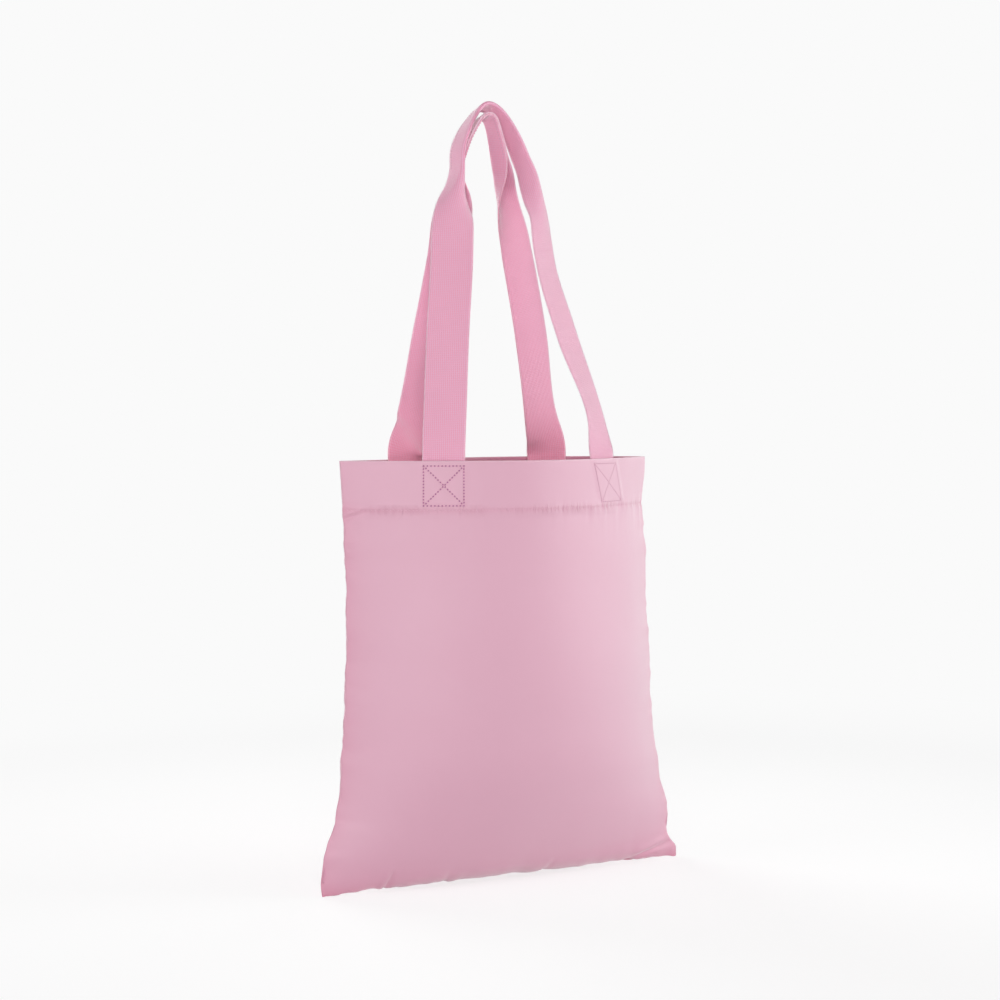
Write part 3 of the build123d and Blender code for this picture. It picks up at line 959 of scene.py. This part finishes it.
def thread_materials(*names):
    """The named sewing threads and the dark discs painted as shade in the needle holes, each made once."""
    thread = bpy.context.scene.tote_thread
    colours = {
        "mauve_thread": (thread.colour, thread.deep_colour),
        "needle_hole_shade": (thread.hole_shade_colour, thread.deep_colour),
        "cloth_thread": (bpy.context.scene.tote_cloth.colour, thread.colour),
    }
    return [bpy.data.materials.get(name) or thread_material(name, *colours[name]) for name in names]


# ------------------------------------------------------------------ settings
def length_property(name, description, default, **limits):
    words = {"name": name, "description": description}
    return FloatProperty(**words, default=default, unit="LENGTH", precision=5, **limits)


def colour_property(name, description, default):
    words = {"name": name, "description": description}
    return FloatVectorProperty(**words, default=default, subtype="COLOR", size=3, min=0, max=1)


def share_property(name, description, default):
    words = {"name": name, "description": description}
    return FloatProperty(**words, default=default, subtype="FACTOR", min=0, max=1)


def power_property(name, description, default):
    return FloatProperty(name=name, description=description, default=default, unit="POWER")


class ToteClothSettings(bpy.types.PropertyGroup):
    """Sizes and colours of the two cloth panels."""

    colour: colour_property("Cloth Colour", "Dyed colour of the polyester", (0.670, 0.370, 0.478))
    # painted shade and bounce light near the seams, the bottom, the hem line and inside the turned hem
    deep_colour: colour_property("Gathered Colour", "Colour deep in the gathers", (0.625, 0.225, 0.335))
    thickness: length_property("Cloth Thickness", "Thickness of one layer", 0.0004, min=0.0001, max=0.002)
    yarn_pitch: length_property("Yarn Pitch", "Distance between yarns", 0.00045, min=0.0001, max=0.005)
    pucker: length_property("Pucker Height", "Height of the puckers at the seams", 0.0013, min=0, max=0.005)
    sheen: share_property("Sheen", "Soft sheen of the cloth", 0.8)


class ToteWebbingSettings(bpy.types.PropertyGroup):
    """Sizes and colours of the two webbing handles."""

    colour: colour_property("Webbing Colour", "Dyed colour of the webbing", (0.82, 0.465, 0.615))
    # painted shade between the ribs, and painted bounce light on the back handle near the mouth
    deep_colour: colour_property("Shaded Webbing Colour", "Colour between the ribs", (1.0, 0.45, 0.60))
    width: length_property("Webbing Width", "Width of the webbing laid flat", 0.038, min=0.01, max=0.08)
    thickness: length_property("Webbing Thickness", "Thickness of one layer", 0.0016, min=0.0005, max=0.004)
    rib_pitch: length_property("Rib Pitch", "Distance between lengthwise ribs", 0.0017, min=0.0005, max=0.01)
    pick_pitch: length_property("Pick Pitch", "Distance between cross picks", 0.0016, min=0.0005, max=0.01)
    sheen: share_property("Sheen", "Soft sheen of the yarn", 0.9)


class ToteThreadSettings(bpy.types.PropertyGroup):
    """Sizes and colours of the stitching."""

    colour: colour_property("Thread Colour", "Colour of the box stitching", (0.80, 0.46, 0.59))
    deep_colour: colour_property("Shaded Thread Colour", "Colour of thread in a hole", (0.50, 0.18, 0.33))
    # painted shade: the colour of the dark discs that stand for the needle holes
    hole_shade_colour: colour_property("Needle Hole Colour", "Colour of the needle holes", (0.46, 0.165, 0.32))
    pitch: length_property("Stitch Pitch", "Distance between needle holes", 0.0028, min=0.001, max=0.01)
    width: length_property("Thread Width", "Width of the thread", 0.0007, min=0.0002, max=0.002)


class ToteBindingSettings(bpy.types.PropertyGroup):
    """Sizes and colours of the tape bound over the inner seams."""

    colour: colour_property("Tape Colour", "Colour of the seam tape", (0.72, 0.36, 0.48))
    deep_colour: colour_property("Shaded Tape Colour", "Colour between the tape's ribs", (0.60, 0.24, 0.36))


class ToteStageSettings(bpy.types.PropertyGroup):
    """Floor, light and camera."""

    backdrop: colour_property("Backdrop Colour", "Colour of the floor and behind it", (0.956, 0.956, 0.956))
    right_light: power_property("Right Light", "Power of the large soft light on the right", 25)
    left_light: power_property("Left Light", "Power of the soft light on the left", 11)
    front_light: power_property("Camera Light", "Power of the soft light beside the camera", 22)
    top_light: power_property("Top Light", "Power of the soft light overhead", 5)
    rear_light: power_property("Rear Light", "Power of the soft light behind", 44)
    lens: FloatProperty(name="Lens", description="Focal length of the camera", default=84.2, unit="CAMERA")
    camera_place: FloatVectorProperty(
        name="Camera Place",
        description="Where the camera stands",
        default=(-1.0787, -1.8540, 0.441),
        subtype="TRANSLATION",
    )


# ------------------------------------------------------------------ operators
def panel_rows(panel):
    """Rows of one sheet: up its outer face, round the top edge and down the hem inside.

    For each row: the way up the panel, the inset from its outer face, the lift over the top edge, and the
    distance along the sheet. Rows lie closer at the bottom seam and at the hem.
    """
    rim = panel.up_to(TOP - 0.5 * FACING_INSET)
    hem = panel.up_to(HEM - 8)
    stretches = ((0, 12, 12), (12, 70, 26), (70, hem, 96))
    up = [np.linspace(*stretch)[:-1] for stretch in stretches]
    up = np.concatenate([*up, np.linspace(hem, rim, 44)])
    down = np.linspace(rim, panel.up_to(HEM - 1.5), 24)
    roll = np.radians([30, 60, 90, 120, 150])
    radius = 0.5 * FACING_INSET
    a = np.concatenate([up, np.full(len(roll), rim), down])
    inset = np.concatenate([0 * up, radius * (1 - np.cos(roll)), np.full(len(down), FACING_INSET)])
    lift = np.concatenate([0 * up, radius * np.sin(roll), 0 * down])
    way = np.concatenate([up, rim + radius * roll, rim + np.pi * radius + rim - down])
    return a, inset, lift, way


class TOTE_OT_panels(bpy.types.Operator):
    """Build the two cloth panels, each one sheet from the bottom seam over the top edge and down its hem"""

    bl_idname = "tote.panels"
    bl_label = "Cloth Panels"

    def execute(self, context):
        cloth = context.scene.tote_cloth
        material = cloth_material()
        for side, panel in PANELS.items():
            a, inset, lift, way = panel_rows(panel)
            t = np.linspace(-1, 1, 168)
            s = 0.3 * t + 0.7 * np.sin(0.5 * np.pi * t)
            radius = 0.5 * FACING_INSET
            s_grid, a_grid = np.meshgrid(s, a)
            points, _ = panel.skin(s_grid, a_grid, np.broadcast_to(inset[:, None], a_grid.shape))
            points[..., 2] += lift[:, None]
            seam, height = from_seam(s_grid), points[..., 2]
            # painted shade and bounce light: the colour deepens near the side seams, the bottom seam and the
            # hem line, and over the whole inside of the turned hem
            painted_shade_and_bounce = 0.40 * np.exp(-seam / 8) + 0.95 * np.exp(-a_grid / 17) + 0.10 * bump(height, HEM, 2.5)
            painted_shade_and_bounce = painted_shade_and_bounce * (1 - 0.6 * ease(HEM + 2, HEM + 10, height))
            painted_shade_and_bounce = np.where(inset[:, None] > radius, 0.9, painted_shade_and_bounce)
            uneven = 0.6 + 0.4 * ripple(points[..., 0] / 13, 41)
            hem_line = uneven * bump(height, HEM + 0.5, 3.4) * (inset[:, None] < radius)
            fold = bump(height, TOP, 1.2)
            uv = grid_uv((s * 185)[None, :], way[:, None])
            faces = grid_faces(len(a), len(s), flip=side == "back")
            piece = make_object(
                f"{side}_panel_cloth", points.reshape(-1, 3), faces, uv,
                {"painted_shade_and_bounce": painted_shade_and_bounce, "fold": fold, "hem_line": hem_line}, materials=[material],
            )
            wall = piece.modifiers.new("cloth thickness", "SOLIDIFY")
            wall.thickness = cloth.thickness
            wall.offset = -1
            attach(piece, "bag")
            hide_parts(f"{side}_panel", f"{side}_hem_facing")
        return {"FINISHED"}


class TOTE_OT_straps(bpy.types.Operator):
    """Build the two webbing handles, each one length from tail to tail, folded double at its grip"""

    bl_idname = "tote.straps"
    bl_label = "Webbing Handles"

    def execute(self, context):
        webbing = context.scene.tote_webbing
        material = webbing_material()
        for side in SIDES:
            strap = Strap(side)
            width, thickness = webbing.width * PER_METRE, webbing.thickness * PER_METRE
            points, faces, uv, edge = webbing_arrays(strap, width, thickness)
            # painted bounce light: towards the mouth the back handle is tinted redder and more saturated,
            # standing in for light bounced off the pink cloth into the front panel's shade
            deeper = 0.75 if side == "back" else 0.0
            painted_shade_and_bounce = deeper * np.exp(-np.maximum(points[:, 2] - TOP, 0) / 38)
            values = {"edge": edge, "painted_shade_and_bounce": painted_shade_and_bounce}
            piece = make_object(f"{side}_strap", points, faces, uv, values, materials=[material])
            tails = (f"{side}_{place}_webbing_tail" for place in PLACES)
            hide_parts(f"{side}_handle_webbing", *tails)
            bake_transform(piece)
        return {"FINISHED"}


class TOTE_OT_grip_stitches(bpy.types.Operator):
    """Sew the folded grips shut with a row of stitches near the selvages, on both faces"""

    bl_idname = "tote.grip_stitches"
    bl_label = "Grip Stitches"

    def execute(self, context):
        thread, webbing = context.scene.tote_thread, context.scene.tote_webbing
        row = 0.5 * webbing.width * PER_METRE - 3.2
        for side in SIDES:
            strap = Strap(side)
            closed = strap.run[strap.fold > np.radians(86)]
            pitch = thread.pitch * PER_METRE
            stops = np.arange(closed[0] + 4, closed[-1] - 4, pitch)
            grid = np.array([-row - 1, -row, -row + 1, row - 1, row, row + 1])
            points, normals = strap.sheet(grid)
            parts = []
            for column in (1, 4):
                middle = between(stops, strap.run, points[:, column])
                outward = -unit(between(stops, strap.run, normals[:, column]))
                along = square_to(between(stops, strap.run, strap.along), outward)
                middle = middle + outward * (0.5 * webbing.thickness * PER_METRE - 0.1)
                width = thread.width * PER_METRE
                parts.append(stitch_mesh(middle, along, outward, STITCH_SHARE * pitch, width, 0.25))
            flat, faces, uv, end, _ = join(parts)
            sewing = thread_materials("cloth_thread")
            piece = make_object(f"{side}_grip_stitches", flat, faces, uv, {"edge": end}, materials=sewing)
            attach(piece, f"{side}_handle")
            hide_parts(f"{side}_grip_stitching")
        return {"FINISHED"}


def box_lines(side, place):
    """Lines of a stitched box, flat on its panel: four edges and two diagonals, leaning as its leg does."""
    low, high = BOXES[side, place]
    left, right = (edge + SHIFT[side, place] for edge in (low[0] + 0.4, high[0] - 0.4))
    bottom, top = low[2] + 0.5, high[2] - 0.5
    lean = LEANING[side, place] * (top - bottom)
    corners = [(left + lean, bottom), (right + lean, bottom), (right, top), (left, top)]
    lines = [(corners[k], corners[(k + 1) % 4]) for k in range(4)]
    return lines + [(corners[0], corners[2]), (corners[1], corners[3])]


class TOTE_OT_box_stitches(bpy.types.Operator):
    """Sew each tail into the hem with a stitched square and its two diagonals, outside and inside"""

    bl_idname = "tote.box_stitches"
    bl_label = "Box Stitches"

    def execute(self, context):
        thread = context.scene.tote_thread
        pitch, width = thread.pitch * PER_METRE, thread.width * PER_METRE
        for side, place in BOXES:
            panel = PANELS[side]
            slanted = LEANING[side, place] > 0
            hole = 0.7 if slanted else 1.6
            strands, holes = [], []
            for start, end in box_lines(side, place):
                flat = seam_line(start, end, pitch)
                direction = np.subtract(flat[-1], flat[0])
                inset = WEBBING_INSET + 1.1
                strands.append(sewn(panel, flat, direction, 0.12, 0.66 * pitch, width, 0.12))
                strands.append(sewn(panel, flat, direction, inset, 0.72 * pitch, width, 0.3, inside=True))
                # a dark disc at each end of every stitch, painted as the shade in its needle hole
                half = 0.5 * (flat[1] - flat[0])
                ends = np.concatenate([seam_line(flat[0] - half, flat[-1] + half, pitch) - half, [end]])
                holes.append(sewn(panel, ends, direction, 0.0, 0.85 * hole, hole, 0.03))
            points, faces, uv, end, number = join(strands + holes)
            sewing = thread_materials("cloth_thread" if slanted else "mauve_thread", "needle_hole_shade")
            piece = make_object(
                f"{side}_{place}_box_stitches", points, faces, uv, {"edge": end},
                (number >= len(strands)).astype(int), sewing,
            )
            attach(piece, "bag")
            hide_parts(f"{side}_{place}_box_stitching")
        return {"FINISHED"}


class TOTE_OT_hem_stitches(bpy.types.Operator):
    """Sew the row of stitches that holds each turned hem, outside and inside"""

    bl_idname = "tote.hem_stitches"
    bl_label = "Hem Stitches"

    def execute(self, context):
        thread = context.scene.tote_thread
        pitch = thread.pitch * PER_METRE
        for side, panel in PANELS.items():
            low, high = cad_box(f"{side}_hem_stitching")
            flat = seam_line((low[0] + 2, low[2] + 0.5), (high[0] - 2, low[2] + 0.5), pitch)
            stitch = (STITCH_SHARE * pitch, *STRAND)
            outer = sewn(panel, flat, (1, 0), 0.1, *stitch)
            flat = flat + np.array([0.5 * pitch, 1.0])
            inner = sewn(panel, flat, (1, 0), FACING_INSET + 0.05, *stitch, inside=True)
            points, faces, uv, end, _ = join([outer, inner])
            sewing = thread_materials("cloth_thread")
            piece = make_object(f"{side}_hem_stitches", points, faces, uv, {"edge": end}, materials=sewing)
            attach(piece, "bag")
            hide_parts(f"{side}_hem_stitching")
        return {"FINISHED"}


def tape_arrays(foot, reach, sideways, width, thickness):
    """A folded tape: a flat rounded loop whose folded edge stands off the seam and waves a little."""
    f = np.array([0, 0, 0.2, 0.45, 0.7, 0.88, 0.96, 1, 0.96, 0.88, 0.7, 0.45, 0.2])
    side = np.array([-0.5, 0.5, 0.5, 0.46, 0.5, 0.5, 0.36, 0, -0.36, -0.5, -0.5, -0.46, -0.5])
    run = np.r_[0, np.cumsum(np.linalg.norm(np.diff(foot, axis=0), axis=1))]
    wave = 0.9 * ripple(run / 22, 41) + 0.4 * ripple(run / 9, 42)
    ring = (
        foot[:, None]
        + reach[:, None] * (f * width)[None, :, None]
        + sideways[:, None] * (side[None, :] * thickness + wave[:, None] * f[None, :])[..., None]
    )
    rows, columns = ring.shape[:2]
    k = np.arange(1, 6)
    cap = np.stack([k, k + 1, columns - k, (columns + 1 - k) % columns], axis=-1)
    faces = np.concatenate([grid_faces(rows, columns, closed=True), cap, cap[:, ::-1] + (rows - 1) * columns])
    uv = grid_uv(run[:, None], ((f + 1.2 * (side < 0)) * width)[None, :])
    flat = ring.reshape(-1, 3)
    return flat, facing_out(flat, faces), uv, np.tile(f, rows), wave, run


def seam_foot(name, low, high):
    """The line that a seam's tape stands on, the way that it reaches from there, and its width."""
    if name == "bottom":
        x = np.arange(low[0] + 2, high[0] - 2, 2.5)
        foot = np.stack([x, 0 * x, 0 * x + low[2] + 1.6 + 0.5 * ripple(x / 21, 31)], axis=-1)
        return foot, np.tile([0.0, 0.0, 1.0], (len(x), 1)), high[2] - low[2] - 1.0
    z = np.arange(low[2], high[2] - 1, 2.5)
    edge = through(SEAMS[name], z)[:, 0]
    inwards = 1.0 if name == "left" else -1.0
    foot = np.stack([edge + inwards * 2.8, 0 * z, z], axis=-1)
    return foot, np.tile([inwards, 0.0, 0.0], (len(z), 1)), 10.0


class TOTE_OT_bindings(bpy.types.Operator):
    """Bind the inner seams with folded tape, stitched near its open edge"""

    bl_idname = "tote.bindings"
    bl_label = "Seam Bindings"

    def execute(self, context):
        thread = context.scene.tote_thread
        pitch = thread.pitch * PER_METRE
        tape = tape_material()
        for name in ("bottom", "left", "right"):
            low, high = cad_box(f"{name}_seam_binding")
            foot, reach, width = seam_foot(name, low, high)
            sideways = np.tile([0.0, 1.0, 0.0], (len(foot), 1))
            thick = high[1] - low[1]
            *tape_mesh, wave, run = tape_arrays(foot, reach, sideways, width, thick)
            stops = np.arange(run[0] + 3, run[-1] - 3, pitch)
            middle = between(stops, run, foot) + reach[:1] * 0.3 * width
            offset = np.interp(stops, run, wave) * 0.3
            along = unit(between(stops, run, np.gradient(foot, axis=0)))
            parts = [tape_mesh]
            for way in (-1.0, 1.0):
                normal = np.tile([0.0, way, 0.0], (len(stops), 1))
                centre = middle + np.stack([0 * stops, offset + way * 0.47 * thick, 0 * stops], axis=-1)
                parts.append(stitch_mesh(centre, along, normal, STITCH_SHARE * pitch, *STRAND))
            points, faces, uv, edge_of, number = join(parts)
            piece = make_object(
                f"{name}_seam_tape", points, faces, uv, {"edge": edge_of}, (number > 0).astype(int),
                [tape, *thread_materials("cloth_thread")],
            )
            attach(piece, "bag")
            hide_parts(f"{name}_seam_binding")
        return {"FINISHED"}


def aim(thing, target):
    thing.rotation_euler = (Vector(target) - thing.location).to_track_quat("-Z", "Y").to_euler()


class TOTE_OT_stage(bpy.types.Operator):
    """Lay the pale floor, hang the soft lights and set the camera"""

    bl_idname = "tote.stage"
    bl_label = "Stage"

    def execute(self, context):
        scene, stage = context.scene, context.scene.tote_stage
        scene.view_settings.view_transform = "Standard"
        self.floor(stage)
        self.surroundings(scene, stage)
        for name, place, size, power in (
            ("right_softbox", (1.9, -0.9, 0.75), (1.3, 1.8), stage.right_light),
            ("far_right_softbox", (1.9, 0.8, 0.75), (1.3, 1.8), 0.28 * stage.right_light),
            ("left_softbox", (-2.05, -0.15, 0.75), (1.0, 1.8), stage.left_light),
            ("camera_softbox", (-1.30, -2.05, 0.60), (1.0, 1.1), stage.front_light),
            ("front_softbox", (1.2, -2.2, 0.75), (1.6, 1.4), 0.3 * stage.front_light),
            ("top_softbox", (-0.1, -0.5, 2.4), (1.8, 1.8), stage.top_light),
            ("rear_softbox", (-0.4, 2.4, 0.9), (2.0, 1.4), stage.rear_light),
        ):
            data = bpy.data.lights.new(name, "AREA")
            data.shape, (data.size, data.size_y), data.energy = "RECTANGLE", size, power
            lamp = bpy.data.objects.new(name, data)
            scene.collection.objects.link(lamp)
            lamp.location = place
            aim(lamp, (0, 0, 0.32))
        data = bpy.data.cameras.new("camera")
        data.lens, data.sensor_width = stage.lens, 36.0
        data.clip_start, data.clip_end = 0.05, 60.0
        camera = bpy.data.objects.new("camera", data)
        scene.collection.objects.link(camera)
        camera.location = stage.camera_place
        turn, dip = np.radians(30.0), np.radians(2.49)
        ahead = Vector((np.sin(turn) * np.cos(dip), np.cos(turn) * np.cos(dip), -np.sin(dip)))
        camera.rotation_euler = ahead.to_track_quat("-Z", "Y").to_euler()
        scene.camera = camera
        return {"FINISHED"}

    def floor(self, stage):
        """A wide flat floor: it keeps a soft shadow near the bag and is the plain backdrop further out."""
        t = np.linspace(-1, 1, 9)
        x, y = np.meshgrid(9000 * t, 9000 * t)
        points = np.stack([x, y, 0 * x - 0.05], axis=-1).reshape(-1, 3)
        floor = make_object("floor", points, grid_faces(9, 9))
        material = bpy.data.materials.new("pale_floor")
        material.use_nodes = True
        tree = Tree(material.node_tree)
        matt = tree.add("ShaderNodeBsdfDiffuse")
        socket_value(matt, "Color", (0.90, 0.90, 0.90, 1))
        distance = tree.add("ShaderNodeVectorMath", operation="LENGTH")
        tree.link(tree.object_place(), distance.inputs[0])
        distance = distance.outputs["Value"]
        plain = tree.add("ShaderNodeEmission")
        socket_value(plain, "Color", (*stage.backdrop, 1))
        tree.link(tree.spread(distance, (0.25, 1.0), (1.185, 1.0), smooth=True), plain.inputs["Strength"])
        far = tree.spread(distance, (0.25, 1.4), (0.62, 1.0), smooth=True)
        seen = tree.mix_light(far, matt.outputs[0], plain.outputs[0])
        chosen = tree.mix_light(tree.shown(), matt.outputs[0], seen)
        tree.link(chosen, tree.add("ShaderNodeOutputMaterial").inputs[0])
        floor.data.materials.append(material)

    def surroundings(self, scene, stage):
        """Plain even light from all round, seen as the backdrop colour."""
        world = bpy.data.worlds.new("plain_surroundings")
        world.use_nodes = True
        scene.world = world
        tree = Tree(world.node_tree)
        light = tree.add("ShaderNodeBackground")
        socket_value(light, "Color", (1, 1, 1, 1))
        socket_value(light, "Strength", 0.18)
        plain = tree.add("ShaderNodeBackground")
        socket_value(plain, "Color", (*stage.backdrop, 1))
        chosen = tree.mix_light(tree.shown(), light.outputs[0], plain.outputs[0])
        tree.link(chosen, tree.add("ShaderNodeOutputWorld").inputs[0])


OPERATORS = (
    TOTE_OT_panels,
    TOTE_OT_hem_stitches,
    TOTE_OT_straps,
    TOTE_OT_grip_stitches,
    TOTE_OT_box_stitches,
    TOTE_OT_bindings,
    TOTE_OT_stage,
)
SETTINGS = {
    "tote_cloth": ToteClothSettings,
    "tote_webbing": ToteWebbingSettings,
    "tote_thread": ToteThreadSettings,
    "tote_binding": ToteBindingSettings,
    "tote_stage": ToteStageSettings,
}


class TOTE_PT_parts(bpy.types.Panel):
    """Lists the bag's settings and the steps that build it."""

    bl_idname = "TOTE_PT_parts"
    bl_label = "Tote Bag"
    bl_space_type = "VIEW_3D"
    bl_region_type = "UI"
    bl_category = "Tote Bag"

    def draw(self, context):
        for key, kind in SETTINGS.items():
            box = self.layout.box()
            box.label(text=kind.__name__.replace("Tote", "").replace("Settings", ""))
            for name in kind.__annotations__:
                box.prop(getattr(context.scene, key), name)
        for operator in OPERATORS:
            self.layout.operator(operator.bl_idname)


def register():
    for kind in (*SETTINGS.values(), *OPERATORS, TOTE_PT_parts):
        bpy.utils.register_class(kind)
    for key, kind in SETTINGS.items():
        setattr(bpy.types.Scene, key, PointerProperty(type=kind))


def unregister():
    for key in SETTINGS:
        delattr(bpy.types.Scene, key)
    for kind in reversed((*SETTINGS.values(), *OPERATORS, TOTE_PT_parts)):
        bpy.utils.unregister_class(kind)


def main():
    """Builds every piece in order."""
    register()
    bpy.ops.tote.panels()
    bpy.ops.tote.hem_stitches()
    bpy.ops.tote.straps()
    bpy.ops.tote.grip_stitches()
    bpy.ops.tote.box_stitches()
    bpy.ops.tote.bindings()
    bpy.ops.tote.stage()


if __name__ == "__main__":
    main()
